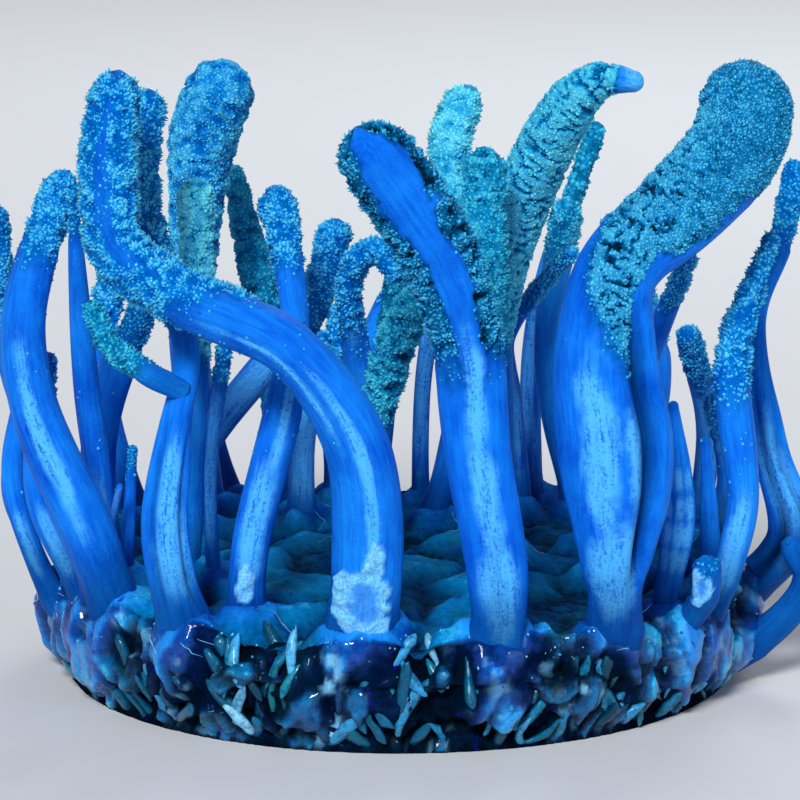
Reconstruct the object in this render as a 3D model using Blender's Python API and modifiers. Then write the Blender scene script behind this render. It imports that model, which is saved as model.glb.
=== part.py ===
"""Cordyceps bunch: a jar-shaped cake of grain bound by mycelium, with a dense bunch of fruiting clubs on it.

The origin is the middle of the cake's flat underside, +Z is up and -Y is the front of the bunch.
Every club is one body lofted along a smooth spine. Its foot is cut by the cake's surface, GAP above it.
"""

import math

import bmesh
import bpy
from mathutils import Vector

MM = 0.001
GAP = 0.3 * MM

# The cake: half of its section, from the axis along the flat underside, up the side and back over the top.
CAKE_FLAT_RADIUS = 33.5
CAKE_WIDEST_RADIUS = 36.3
CAKE_WIDEST_HEIGHT = 7.0
CAKE_RIM_RADIUS = 34.5
CAKE_RIM_HEIGHT = 11.4
CAKE_TOP_HEIGHT = 12.8
CAKE_SEGMENTS = 60
LUMP_SIZE = 11.0
LUMP_HEIGHT = 1.8

# How finely a club is lofted: its rings come closer together where it bends, and over its round tip.
STRAIGHT_STEP = 7.0
BEND_STEP = math.radians(17)
SPINE_STEP = 0.5
TIP_ANGLES = (35, 65)
SMALL_CLUB_WIDTH = 3.2
LARGE_CLUB_WIDTH = 5.2
SMALL_SIDES, MIDDLE_SIDES, LARGE_SIDES = 6, 8, 11

STEM_BLUE = (0.005, 0.11, 0.72)
HEAD_TEAL = (0.03, 0.30, 0.50)
CAKE_TEAL = (0.02, 0.12, 0.18)

# Clubs with more than one bend, in mm: depth over width, then the points of the spine that its bends need,
# from foot to tip, as (x, y, z, width).
BENT_CLUBS = {
    # Up the front, over to the left, and up again.
    "sweeping_club": (0.9, [
        (-4, -30, 9, 6), (-3, -33, 19, 7), (-4, -35, 30, 6.5), (-10, -36, 39, 5.5),
        (-19, -33, 43, 6), (-26, -29, 47, 6), (-27, -25, 56, 6), (-26, -23, 63, 5),
    ]),
    # Straight, then a broad head that leans left and forward.
    "spoon_club": (0.8, [
        (9, -31, 9, 5), (9, -35, 18, 6), (7, -35, 30, 6.5),
        (6, -35, 40, 7), (3, -37, 49, 8), (-4, -40, 60, 7.5),
    ]),
    # A narrow foot, a swollen belly, a waist and a broad head that leans right.
    "giant_club": (0.72, [
        (20, -28, 10, 2.5), (20, -32, 19, 7.5), (20, -32, 28, 11), (19, -31, 37, 10),
        (20, -29, 45, 8), (27, -24, 51, 9), (32, -19, 56, 9.5), (33, -15, 63, 9.5),
    ]),
    "forked_club": (0.85, [
        (-20, -27, 9, 4), (-22, -28, 20, 5), (-21, -26, 30, 3.5), (-20, -24, 36, 3),
        (-22, -19, 42, 3.5), (-25, -14, 50, 4.5), (-24, -13, 60, 4),
    ]),
    "round_headed_club": (0.9, [
        (-15, -25, 9, 3.5), (-14, -26, 19, 4), (-11, -23, 31, 4), (-10, -19, 39, 3), (-12, -15, 51, 4.5),
    ]),
    "left_outer_club": (0.9, [
        (-27, -18, 9, 4.5), (-30, -21, 19, 5.5), (-35, -18, 30, 5), (-36, -15, 39, 4.5), (-32, -12, 52, 4),
    ]),
    "right_tall_club": (0.9, [(30, -18, 9, 3), (33, -17, 20, 3.5), (32, -15, 34, 4), (36, -12, 46, 1.5)]),
    "twin_club": (0.9, [(9, -21, 10, 3.5), (9, -21, 30, 4), (8, -19, 45, 5), (8, -17, 55, 4.5)]),
    # Its head bends over to the right and ends in a bare nub.
    "ridged_club": (0.9, [
        (10, -1, 10, 3), (9, -4, 29, 3.5), (10, -7, 41, 5), (12, -9, 49, 6),
        (16, -13, 58, 5.5), (19, -15, 61, 4), (23, -17, 61, 2),
    ]),
    "tall_back_club": (0.85, [
        (-20, 20, 9, 3.5), (-22, 20, 28, 4.5), (-21, 18, 44, 6), (-20, 17, 52, 7.5), (-17, 15, 59, 7),
    ]),
    "mottled_club": (0.85, [(-21, -10, 10, 2.5), (-20, -10, 27, 2.5), (-20, -4, 43, 4), (-20, -3, 50, 4)]),
    "leaning_club": (0.9, [
        (-23, 12, 10, 3), (-21, 8, 19, 3.5), (-14, 0, 30, 3.5), (-9, -3, 36, 3.5), (-6, -4, 46, 4),
    ]),
    # Hooks over at the top, so that its tip points down.
    "curled_club": (0.95, [
        (-3, 2, 10, 2.5), (-4, -5, 31, 3), (-5, -8, 39, 3),
        (-4, -10, 43, 3), (-2, -11, 44, 3), (0, -12, 41, 2.5),
    ]),
    "fuzzy_club": (0.95, [(-4, -6, 10, 3), (-3, -7, 22, 3), (-1, -11, 33, 4.5), (2, -17, 41, 4)]),
    "slender_club": (0.9, [(13, 18, 9, 2.5), (12, 16, 24, 1.5), (11, 9, 32, 2), (17, -4, 43, 2)]),
    "folded_club": (0.6, [
        (35, -4, 8, 4), (39, -4, 14, 5), (37, 0, 22, 4), (36, 5, 34, 2), (39, 8, 44, 3), (40, 9, 50, 3),
    ]),
    "rim_curl": (0.75, [(34, -9, 4, 3.5), (38, -9, 7, 3.5), (40, -9, 11, 3), (38, -9, 15, 2.5)]),
    "round_bud": (0.9, [(27, -21, 9, 2), (29, -24, 13, 3), (29, -25, 17, 3)]),
    "back_bent_club": (0.9, [(-5, 29, 9, 3.5), (-5, 33, 20, 4), (-1, 36, 30, 4), (5, 32, 41, 4.5)]),
}

# Clubs that rise in one bow, in mm: depth over width, the foot (x, y), the tip (x, y, z), how far the middle
# bows away from the line between them (x, y), and the widths at the foot, middle and tip.
BOWED_CLUBS = {
    # The left side.
    "left_slim_club": (0.9, (-28, -9), (-31, -18, 51), (-1, 3), (2.5, 3, 1)),
    "left_leaf_club": (0.8, (-30, 3), (-24, -2, 40), (-3, 1), (3, 4, 3)),
    "far_left_club": (0.9, (-31, 8), (-40, -2, 47), (-3, 0), (2.5, 3, 3)),
    "left_rim_club": (0.9, (-34, -12), (-36, -5, 33), (-3, -1), (2.5, 2.5, 2)),
    "left_foot_club": (0.9, (-30, -15), (-34, -11, 34), (-3, -3), (2.5, 3, 2)),
    "left_edge_club": (0.6, (-35, -3), (-37, -4, 28), (-3, 0), (1.5, 1.5, 1)),
    "cream_pin": (1.0, (-30, -13), (-27, -16, 22), (0, 0), (0.7, 0.7, 0.7)),
    "small_left_club": (0.9, (-27, -12), (-26, -12, 25), (0, 0), (1.5, 1.5, 1)),
    # The middle, between the large clubs.
    "small_bud_club": (1.0, (-18, -12), (-17, -11, 35), (-1, 0), (1.5, 1.5, 2)),
    "far_back_club": (0.8, (-12, 26), (-18, 32, 46), (1, 2), (2.5, 4.5, 2.5)),
    "thin_club": (0.9, (2, 22), (5, 7, 43), (-1, 4), (2, 2, 2.5)),
    "sliver_club": (0.7, (-3, 15), (0, 8, 45), (0, 1), (2.5, 3, 2)),
    "left_inner_club": (0.9, (-10, 12), (-8, 17, 31), (-1, 0), (3, 3, 3.5)),
    # The right side.
    "stubby_club": (0.95, (19, 17), (17, 9, 46), (-3, 0), (2.5, 2.5, 4)),
    "back_tip_club": (0.9, (14, 27), (21, 30, 51), (-3, -1), (2.5, 2.5, 2.5)),
    "slender_twin_club": (0.9, (15, 23), (14, 20, 35), (-1, 1), (2, 1.5, 1.5)),
    "slender_third_club": (0.9, (18, 19), (16, 17, 36), (0, 0), (1.5, 1.5, 1.5)),
    "side_leaf_club": (0.55, (25, -20), (26, -20, 31), (1, -2), (1.5, 3.5, 1)),
    "arched_back_club": (0.9, (31, 17), (29, 7, 33), (2, 3), (2.5, 3, 3)),
    "hidden_right_club": (0.9, (26, 11), (28, -12, 44), (-3, 3), (2.5, 3, 2)),
    "leaf_bud": (0.6, (31, -8), (30, -8, 25), (0, 0), (2.5, 2, 1)),
    "right_inner_club": (0.9, (21, -10), (20, -7, 30), (1, -1), (3, 3, 3.5)),
    "right_middle_club": (0.9, (20, 1), (19, 4, 30), (0, 0), (2.5, 2.5, 3)),
    "right_short_club": (0.9, (31, 4), (32, 9, 26), (2, 0), (2.5, 2.5, 3)),
    # The far side.
    "back_left_club": (0.9, (-27, 16), (-28, 23, 43), (-4, 0), (3, 4, 4)),
    "back_right_club": (0.9, (24, 22), (22, 25, 42), (4, 3), (3.5, 4, 4.5)),
    "back_rim_club": (0.9, (-18, 30), (-22, 33, 29), (-1, 2), (2.5, 3, 3)),
    "back_low_club": (0.9, (6, 31), (10, 33, 25), (0, 2), (2.5, 2.5, 3)),
    "back_inner_club": (0.9, (3, 11), (8, 17, 31), (0, 1), (3, 3, 3.5)),
    "back_middle_club": (0.9, (-6, 21), (-6, 24, 33), (-1, 0), (3, 3, 3.5)),
    "back_short_club": (0.9, (19, 27), (21, 33, 27), (1, 2), (2.5, 3, 3)),
}
# How deep in the cake a bowed club's foot is set, as a height above the underside.
FOOT_HEIGHT = 9.0

# Clubs that fork: the branch leaves its trunk, and its root is cut by the trunk's surface, GAP from it.
BRANCHES = {
    "forked_club_branch": ("forked_club", 0.9, [
        (-20, -25, 33, 2), (-23, -28, 35, 2.5), (-27, -28, 38, 2.5), (-29, -27, 42, 2),
    ]),
    "twin_club_branch": ("twin_club", 0.9, [
        (8, -18, 45, 3), (5, -14, 51, 4), (5, -12, 56, 4.5), (7, -11, 60, 4),
    ]),
}


def clear_scene():
    for item in list(bpy.data.objects):
        bpy.data.objects.remove(item, do_unlink=True)


def new_collection(name):
    collection = bpy.data.collections.new(name)
    bpy.context.scene.collection.children.link(collection)
    return collection


def add_material(item, colour, roughness):
    material = bpy.data.materials.new(item.name)
    material.use_nodes = True
    shader = material.node_tree.nodes["Principled BSDF"]
    shader.inputs["Base Color"].default_value = (*colour, 1.0)
    shader.inputs["Roughness"].default_value = roughness
    shader.inputs["Metallic"].default_value = 0.0
    item.data.materials.append(material)


def mark_as_cutter(item):
    item.hide_render = True
    item.display_type = "WIRE"


def cake_object(name, collection):
    """Turns the cake's section with a Screw modifier, then raises soft lumps on all but the underside."""
    section = [
        (0.0, CAKE_TOP_HEIGHT),
        (0.35 * CAKE_RIM_RADIUS, CAKE_TOP_HEIGHT),
        (0.62 * CAKE_RIM_RADIUS, CAKE_TOP_HEIGHT - 0.2),
        (0.85 * CAKE_RIM_RADIUS, 0.5 * (CAKE_TOP_HEIGHT + CAKE_RIM_HEIGHT)),
        (CAKE_RIM_RADIUS, CAKE_RIM_HEIGHT),
        (0.5 * (CAKE_RIM_RADIUS + CAKE_WIDEST_RADIUS), 0.5 * (CAKE_RIM_HEIGHT + CAKE_WIDEST_HEIGHT) + 0.4),
        (CAKE_WIDEST_RADIUS, CAKE_WIDEST_HEIGHT),
        (0.5 * (CAKE_FLAT_RADIUS + CAKE_WIDEST_RADIUS) + 0.6, 0.4 * CAKE_WIDEST_HEIGHT),
        (CAKE_FLAT_RADIUS, 0.0),
        (0.0, 0.0),
    ]
    mesh = bpy.data.meshes.new(name)
    points = [(radius * MM, 0.0, height * MM) for radius, height in section]
    mesh.from_pydata(points, [(i, i + 1) for i in range(len(points) - 1)], [])
    cake = bpy.data.objects.new(name, mesh)
    collection.objects.link(cake)

    lumpy = cake.vertex_groups.new(name="lumpy")
    for i in range(len(section) - 2):
        lumpy.add([i], 1.0 if i < len(section) - 3 else 0.5, "REPLACE")

    turn = cake.modifiers.new("turn", "SCREW")
    turn.axis = "Z"
    turn.steps = CAKE_SEGMENTS
    turn.render_steps = CAKE_SEGMENTS
    turn.use_merge_vertices = True
    turn.merge_threshold = 0.00001

    clouds = bpy.data.textures.new("cake_lumps", "CLOUDS")
    clouds.noise_scale = LUMP_SIZE * MM
    lumps = cake.modifiers.new("lumps", "DISPLACE")
    lumps.texture = clouds
    lumps.texture_coords = "LOCAL"
    lumps.strength = LUMP_HEIGHT * MM
    lumps.mid_level = 0.5
    lumps.vertex_group = lumpy.name
    return cake


def spine(stations):
    """A smooth curve through the stations, as a function of the distance along them."""
    points = [Vector(station) for station in stations]
    along = [0.0]
    for before, after in zip(points, points[1:]):
        along.append(along[-1] + (after.xyz - before.xyz).length)
    slopes = []
    for i in range(len(points)):
        low, high = max(i - 1, 0), min(i + 1, len(points) - 1)
        slopes.append((points[high] - points[low]) / (along[high] - along[low]))

    def at(distance):
        i = max(k for k in range(len(along) - 1) if distance >= along[k] or k == 0)
        span = along[i + 1] - along[i]
        t = (distance - along[i]) / span
        return (
            points[i] * (2 * t**3 - 3 * t**2 + 1)
            + slopes[i] * span * (t**3 - 2 * t**2 + t)
            + points[i + 1] * (3 * t**2 - 2 * t**3)
            + slopes[i + 1] * span * (t**3 - t**2)
        )

    return at, along[-1]


def bowed_stations(foot, tip, bow, widths):
    """The foot, the bowed middle and the tip of a club that has one bend."""
    foot = Vector((*foot, FOOT_HEIGHT))
    tip = Vector(tip)
    middle = (foot + tip) / 2 + Vector((*bow, 0.0))
    return [(*point, width) for point, width in zip((foot, middle, tip), widths)]


def direction(at, distance):
    return (at(distance + 0.05) - at(distance - 0.05)).xyz.normalized()


def ring_distances(at, shoulder):
    """Steps along the spine and sets a ring each time that length and bend together fill one step."""
    distances = [0.0]
    filled = 0.0
    steps = math.ceil(shoulder / SPINE_STEP)
    for i in range(1, steps):
        distance = shoulder * i / steps
        bend = direction(at, distance).angle(direction(at, distance - shoulder / steps))
        filled += shoulder / steps / STRAIGHT_STEP + bend / BEND_STEP
        if filled > 1.0 and shoulder - distance > 2 * SPINE_STEP:
            distances.append(distance)
            filled = 0.0
    return distances + [shoulder]


def club_sides(stations):
    widest = max(width for *_, width in stations)
    if widest < SMALL_CLUB_WIDTH:
        return SMALL_SIDES
    return LARGE_SIDES if widest > LARGE_CLUB_WIDTH else MIDDLE_SIDES


def club_object(name, collection, flatness, stations, grow=0.0):
    """Lofts elliptical rings along the spine, with a flat foot and a round tip. Lengths are in mm."""
    at, length = spine(stations)
    tip_radius = 0.5 * stations[-1][3]
    shoulder = length - tip_radius
    distances = ring_distances(at, shoulder)
    swells = [1.0] * len(distances)
    for angle in TIP_ANGLES:
        distances.append(shoulder + tip_radius * math.sin(math.radians(angle)))
        swells.append(math.cos(math.radians(angle)))

    sides = club_sides(stations)
    outline = [(math.cos(math.tau * k / sides), math.sin(math.tau * k / sides)) for k in range(sides)]
    loft = bmesh.new()
    rings = []
    across = None
    for distance, swell in zip(distances, swells):
        here = at(distance)
        ahead = direction(at, distance)
        if across is None:
            across = ahead.cross(Vector((0.0, 1.0, 0.0)))
        across = (across - ahead * across.dot(ahead)).normalized()
        deep = ahead.cross(across)
        half_width = 0.5 * here.w * swell + grow
        half_depth = 0.5 * here.w * flatness * swell + grow
        ring = []
        for c, s in outline:
            point = here.xyz + across * (c * half_width) + deep * (s * half_depth)
            ring.append(loft.verts.new(point * MM))
        rings.append(ring)
    for lower, upper in zip(rings, rings[1:]):
        for k in range(sides):
            following = (k + 1) % sides
            loft.faces.new((lower[k], lower[following], upper[following], upper[k]))
    loft.faces.new(reversed(rings[0]))
    tip = loft.verts.new((Vector(stations[-1][:3]) + ahead * grow) * MM)
    for k in range(sides):
        loft.faces.new((rings[-1][k], rings[-1][(k + 1) % sides], tip))
    bmesh.ops.recalc_face_normals(loft, faces=loft.faces)

    mesh = bpy.data.meshes.new(name)
    loft.to_mesh(mesh)
    loft.free()
    mesh.shade_smooth()
    club = bpy.data.objects.new(name, mesh)
    collection.objects.link(club)
    return club


def trim(item, cutter):
    cut = item.modifiers.new("trim", "BOOLEAN")
    cut.operation = "DIFFERENCE"
    cut.solver = "EXACT"
    cut.object = cutter


def build():
    clear_scene()
    bunch = new_collection("cordyceps_bunch")
    cutters = new_collection("cutters")

    cake = cake_object("grain_cake", bunch)
    add_material(cake, CAKE_TEAL, 0.35)

    cake_cutter = cake_object("cake_cutter", cutters)
    grown = cake_cutter.modifiers.new("gap", "DISPLACE")
    grown.strength = GAP
    grown.mid_level = 0.0
    mark_as_cutter(cake_cutter)

    clubs = dict(BENT_CLUBS)
    for name, (flatness, foot, tip, bow, widths) in BOWED_CLUBS.items():
        clubs[name] = (flatness, bowed_stations(foot, tip, bow, widths))
    for name, (flatness, stations) in clubs.items():
        club = club_object(name, bunch, flatness, stations)
        add_material(club, STEM_BLUE, 0.4)
        trim(club, cake_cutter)

    for name, (trunk_name, flatness, stations) in BRANCHES.items():
        trunk_flatness, trunk_stations = clubs[trunk_name]
        trunk_cutter = club_object(trunk_name + "_cutter", cutters, trunk_flatness, trunk_stations, GAP / MM)
        mark_as_cutter(trunk_cutter)
        branch = club_object(name, bunch, flatness, stations)
        add_material(branch, HEAD_TEAL, 0.5)
        trim(branch, trunk_cutter)


build()
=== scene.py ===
"""Cordyceps bunch: the looks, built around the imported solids. Lengths are in mm, but for those of the floor,
the lights and the camera, which are in metres."""

import itertools
import math

import bpy
import numpy as np
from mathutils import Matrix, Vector
from mathutils.bvhtree import BVHTree


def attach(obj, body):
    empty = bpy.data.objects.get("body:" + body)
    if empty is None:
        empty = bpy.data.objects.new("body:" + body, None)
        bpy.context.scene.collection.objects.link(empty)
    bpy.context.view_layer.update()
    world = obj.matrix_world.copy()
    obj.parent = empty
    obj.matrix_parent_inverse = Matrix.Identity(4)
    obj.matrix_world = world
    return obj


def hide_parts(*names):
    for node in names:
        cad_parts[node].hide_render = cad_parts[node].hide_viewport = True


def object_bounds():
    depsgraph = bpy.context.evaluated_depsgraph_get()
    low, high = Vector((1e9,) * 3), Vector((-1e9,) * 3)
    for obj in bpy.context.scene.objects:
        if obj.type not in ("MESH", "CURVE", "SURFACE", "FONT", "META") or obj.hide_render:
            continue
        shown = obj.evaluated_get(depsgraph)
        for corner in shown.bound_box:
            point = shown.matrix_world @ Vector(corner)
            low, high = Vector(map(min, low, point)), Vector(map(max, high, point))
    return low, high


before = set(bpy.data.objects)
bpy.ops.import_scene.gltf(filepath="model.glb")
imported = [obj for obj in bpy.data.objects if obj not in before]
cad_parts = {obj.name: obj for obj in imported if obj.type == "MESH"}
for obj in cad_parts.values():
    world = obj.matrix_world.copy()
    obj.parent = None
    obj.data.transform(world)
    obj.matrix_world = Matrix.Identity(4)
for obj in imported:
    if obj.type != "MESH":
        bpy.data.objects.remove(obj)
cad_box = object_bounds()
MM = 0.001

# ---- The floor, the light and the camera ------------------------------------------------------------
# A plain pale floor, a broad soft key from above the camera and to its left, a weaker fill from the
# right, a rim light behind and a pale sky. The camera looks along +Y from a little above the cake's top.
FLOOR_SIZE = 3.0
FLOOR_GREY = (0.66, 0.68, 0.71, 1.0)
CAMERA_DISTANCE = 0.42
CAMERA_ELEVATION = math.radians(11.5)
CAMERA_TARGET = Vector((0.0, 0.0, 0.027))
VIEW_WIDTH = 0.080
SENSOR = 36.0
KEY_STRENGTH = 3.3
KEY_SPREAD = math.radians(16)
KEY_DIRECTION = (0.12, 0.50, -0.38)
FILL_WATTS = 0.7
RIM_WATTS = 1.3
SKY_STRENGTH = 0.16


def link(item):
    bpy.context.scene.collection.objects.link(item)
    return item


def area_light(name, place, size, watts, colour):
    lamp = bpy.data.lights.new(name, "AREA")
    lamp.shape = "DISK"
    lamp.size = size
    lamp.energy = watts
    lamp.color = colour
    item = link(bpy.data.objects.new(name, lamp))
    item.location = place
    item.rotation_euler = (CAMERA_TARGET - Vector(place)).to_track_quat("-Z", "Y").to_euler()


floor_mesh = bpy.data.meshes.new("floor")
half = FLOOR_SIZE / 2
floor_corners = [(-half, -half, 0), (half, -half, 0), (half, half, 0), (-half, half, 0)]
floor_mesh.from_pydata(floor_corners, [], [(0, 1, 2, 3)])
floor = link(bpy.data.objects.new("floor", floor_mesh))
floor_material = bpy.data.materials.new("pale_floor")
floor_material.use_nodes = True
floor_shader = floor_material.node_tree.nodes["Principled BSDF"]
floor_shader.inputs["Base Color"].default_value = FLOOR_GREY
floor_shader.inputs["Roughness"].default_value = 0.9
floor.data.materials.append(floor_material)

key = bpy.data.lights.new("key_light", "SUN")
key.energy = KEY_STRENGTH
key.angle = KEY_SPREAD
key_light = link(bpy.data.objects.new("key_light", key))
key_light.rotation_euler = Vector(KEY_DIRECTION).to_track_quat("-Z", "Y").to_euler()
area_light("fill_light", (0.45, -0.40, 0.16), 0.40, FILL_WATTS, (0.93, 0.97, 1.0))
area_light("rim_light", (0.15, 0.50, 0.45), 0.30, RIM_WATTS, (0.95, 0.98, 1.0))
sky = bpy.data.worlds.new("sky")
sky.use_nodes = True
sky.node_tree.nodes["Background"].inputs["Color"].default_value = (0.80, 0.86, 0.95, 1.0)
sky.node_tree.nodes["Background"].inputs["Strength"].default_value = SKY_STRENGTH
bpy.context.scene.world = sky
bpy.context.scene.view_settings.view_transform = "Standard"

lens = bpy.data.cameras.new("camera")
lens.sensor_width = SENSOR
lens.lens = SENSOR * CAMERA_DISTANCE / VIEW_WIDTH
lens.clip_start = 0.01
camera = link(bpy.data.objects.new("camera", lens))
back = Vector((0.0, -math.cos(CAMERA_ELEVATION), math.sin(CAMERA_ELEVATION)))
camera.location = CAMERA_TARGET + back * CAMERA_DISTANCE
camera.rotation_euler = (-back).to_track_quat("-Z", "Y").to_euler()
bpy.context.scene.camera = camera

# ---- The cake --------------------------------------------------------------------------------------
# A jar-shaped cake of grain bound by mycelium: damp soft pillows on top, a ragged wet side, and a flat
# underside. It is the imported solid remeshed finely, pushed inwards, and drawn up round the clubs' feet.
CAKE_VOXEL = 0.38
CAKE_TOP = 12.8
CAKE_RADIUS = 36.3
PILLOW_COUNT = 52
PILLOW_WIDTH = 5.6
TOP_RELIEF = 2.7
SIDE_RELIEF = 2.9
DRIP_STRETCH = 0.3
GLINT = (0.15, 0.60, 1.0, 1.0)
TABLE = np.random.default_rng(7).random((32, 32, 32))


def noise(points, size, shift=0.0):
    """Smooth values from -1 to 1 that change over the given size, which may differ along each axis."""
    cell = points / np.asarray(size, float) + shift
    low = np.floor(cell).astype(int)
    part = cell - low
    part = part * part * (3.0 - 2.0 * part)
    value = 0.0
    for corner in itertools.product((0, 1), repeat=3):
        weight = np.prod(np.where(corner, part, 1.0 - part), axis=-1)
        index = (low + corner) % len(TABLE)
        value = value + weight * TABLE[index[..., 0], index[..., 1], index[..., 2]]
    return 2.0 * value - 1.0


def step(value, low, high):
    t = np.clip((value - low) / (high - low), 0.0, 1.0)
    return t * t * (3.0 - 2.0 * t)


def node_tree(name):
    """A new material, its tree and its Principled shader."""
    material = bpy.data.materials.new(name)
    material.use_nodes = True
    return material, material.node_tree, material.node_tree.nodes["Principled BSDF"]


def node_group(name, inputs, outputs):
    """A new node group and its two ends. Inputs are (name, kind, value) and outputs are (name, kind)."""
    tree = bpy.data.node_groups.new(name, "ShaderNodeTree")
    for label, kind, value in inputs:
        socket = tree.interface.new_socket(label, in_out="INPUT", socket_type="NodeSocket" + kind)
        socket.default_value = value
    for label, kind in outputs:
        tree.interface.new_socket(label, in_out="OUTPUT", socket_type="NodeSocket" + kind)
    return tree, tree.nodes.new("NodeGroupInput").outputs, tree.nodes.new("NodeGroupOutput").inputs


def add(tree, kind, sockets=None, **settings):
    """Adds a node. Each socket takes a plain value or another node's output."""
    made = tree.nodes.new("ShaderNode" + kind)
    for key, value in settings.items():
        setattr(made, key, value)
    for key, value in (sockets or {}).items():
        if isinstance(value, bpy.types.NodeSocket):
            tree.links.new(value, made.inputs[key])
        else:
            made.inputs[key].default_value = value
    return made


def blend(tree, factor, first, second):
    """A colour between first, at factor 0, and second, at factor 1."""
    made = tree.nodes.new("ShaderNodeMix")
    made.data_type = "RGBA"
    for socket, value in (("Factor", factor), ("A", first), ("B", second)):
        index = {"Factor": 0, "A": 6, "B": 7}[socket]
        if isinstance(value, bpy.types.NodeSocket):
            tree.links.new(value, made.inputs[index])
        else:
            made.inputs[index].default_value = value
    return made.outputs[2]


def ramp(tree, factor, *stops):
    made = tree.nodes.new("ShaderNodeValToRGB")
    band = made.color_ramp
    while len(band.elements) < len(stops):
        band.elements.new(0.5)
    for element, (place, colour) in zip(band.elements, stops):
        element.position = place
        element.color = colour
    tree.links.new(factor, made.inputs["Fac"])
    return made.outputs["Color"]


def new_piece(name, points, faces, marks, grown, material, nodes):
    """Makes a smooth mesh piece with its marks and growth coordinates, inside the box of the solids."""
    mesh = bpy.data.meshes.new(name)
    mesh.from_pydata(np.clip(points * MM, *cad_box), [], faces)
    colours = mesh.attributes.new("marks", "FLOAT_COLOR", "POINT")
    colours.data.foreach_set("color", np.ascontiguousarray(marks, np.float32).ravel())
    places = mesh.attributes.new("grown", "FLOAT_VECTOR", "POINT")
    places.data.foreach_set("vector", np.ascontiguousarray(grown, np.float32).ravel())
    mesh.shade_smooth()
    mesh.materials.append(material)
    item = link(bpy.data.objects.new(name, mesh))
    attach(item, "root")
    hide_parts(*nodes)
    return item


def fine_relief():
    """Shared by every material: a fine speckle over the growth coordinates, as an amount and as a bump."""
    tree, given, result = node_group(
        "fine_relief",
        [("Place", "Vector", (0.0, 0.0, 0.0)), ("Per mm", "Float", 3.0), ("Depth", "Float", 0.0003)],
        [("Amount", "Float"), ("Normal", "Vector")])
    speckle = add(tree, "TexNoise", {"Vector": given["Place"], "Scale": given["Per mm"], "Detail": 5.0,
                                     "Roughness": 0.66}).outputs["Fac"]
    bump = add(tree, "Bump", {"Height": speckle, "Strength": 0.8, "Distance": given["Depth"]})
    tree.links.new(speckle, result["Amount"])
    tree.links.new(bump.outputs["Normal"], result["Normal"])
    return tree


FINE_RELIEF = fine_relief()


def cake_material():
    """marks: red is height out of the creases, from which the colour paints shade in the creases and light on
    the crests, green is blue mycelium, blue is pale crust that is partly painted glints, alpha is gloss.
    """
    material, tree, shader = node_tree("cake_mycelium")
    read = add(tree, "Attribute", attribute_name="marks")
    marks = add(tree, "SeparateColor", {"Color": read.outputs["Color"]})
    place = add(tree, "Attribute", attribute_name="grown").outputs["Vector"]
    depth = add(tree, "MapRange", {"Value": read.outputs["Alpha"], "To Min": 0.0002, "To Max": 0.0005})
    relief = add(tree, "Group", {"Place": place, "Per mm": 2.2, "Depth": depth.outputs[0]},
                 node_tree=FINE_RELIEF)
    broad = add(tree, "TexNoise", {"Vector": place, "Scale": 0.28, "Detail": 4.0,
                                   "Roughness": 0.6}).outputs["Fac"]
    fine = add(tree, "TexNoise", {"Vector": place, "Scale": 1.3, "Detail": 6.0,
                                  "Roughness": 0.7}).outputs["Fac"]
    lit = add(tree, "MapRange", {"Value": fine, "From Min": 0.3, "From Max": 0.7,
                                 "To Min": -0.11, "To Max": 0.11})
    rise = add(tree, "Math", {0: marks.outputs["Red"], 1: lit.outputs[0]}, operation="ADD", use_clamp=True)
    # The colours run with the height: near black in the creases, as painted shade, to bright blue on the
    # crests, as painted light.
    body = ramp(tree, rise.outputs[0], (0.0, (0.0, 0.001, 0.006, 1)), (0.3, (0.0, 0.012, 0.04, 1)),
                (0.5, (0.0, 0.075, 0.22, 1)), (0.8, (0.0, 0.20, 0.48, 1)), (1.0, (0.04, 0.56, 0.98, 1)))
    green = add(tree, "MapRange", {"Value": broad, "From Min": 0.34, "From Max": 0.5,
                                   "To Min": 0.5, "To Max": 0.0})
    dark = ramp(tree, rise.outputs[0], (0.2, (0.0, 0.008, 0.008, 1)), (1.0, (0.01, 0.20, 0.22, 1)))
    body = blend(tree, green.outputs[0], body, dark)
    flesh = ramp(tree, rise.outputs[0], (0.15, (0.0, 0.004, 0.05, 1)), (0.6, (0.0, 0.06, 0.36, 1)),
                 (1.0, (0.01, 0.26, 0.82, 1)))
    body = blend(tree, marks.outputs["Green"], body, flesh)
    body = blend(tree, marks.outputs["Blue"], body, (0.20, 0.56, 0.86, 1))
    fleck = add(tree, "TexNoise", {"Vector": place, "Scale": 0.9, "Detail": 2.0,
                                   "Roughness": 0.8}).outputs["Fac"]
    violet = add(tree, "MapRange", {"Value": fleck, "From Min": 0.66, "From Max": 0.71,
                                    "To Min": 0.0, "To Max": 0.8})
    body = blend(tree, violet.outputs[0], body, (0.01, 0.0, 0.34, 1))
    rough = add(tree, "MapRange", {"Value": fine, "From Min": 0.3, "From Max": 0.7,
                                   "To Min": 0.05, "To Max": 0.20})
    dry = add(tree, "MapRange", {"Value": read.outputs["Alpha"], "To Min": 1.0, "To Max": 0.0})
    rough = add(tree, "Math", {0: rough.outputs[0], 1: dry.outputs[0]}, operation="ADD", use_clamp=True)
    tree.links.new(body, shader.inputs["Base Color"])
    tree.links.new(relief.outputs["Normal"], shader.inputs["Normal"])
    tree.links.new(rough.outputs[0], shader.inputs["Roughness"])
    wet = add(tree, "MapRange", {"Value": read.outputs["Alpha"], "To Min": 0.0, "To Max": 0.6})
    tree.links.new(wet.outputs[0], shader.inputs["Coat Weight"])
    shader.inputs["Coat Roughness"].default_value = 0.06
    shader.inputs["Specular IOR Level"].default_value = 0.15
    shader.inputs["Specular Tint"].default_value = GLINT
    shader.inputs["Subsurface Weight"].default_value = 0.15
    shader.inputs["Subsurface Radius"].default_value = (0.2, 0.6, 1.0)
    shader.inputs["Subsurface Scale"].default_value = 0.0008
    return material


FORKS = ("forked_club_branch", "twin_club_branch")
CLUBS = [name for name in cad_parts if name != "grain_cake" and name not in FORKS]


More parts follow.
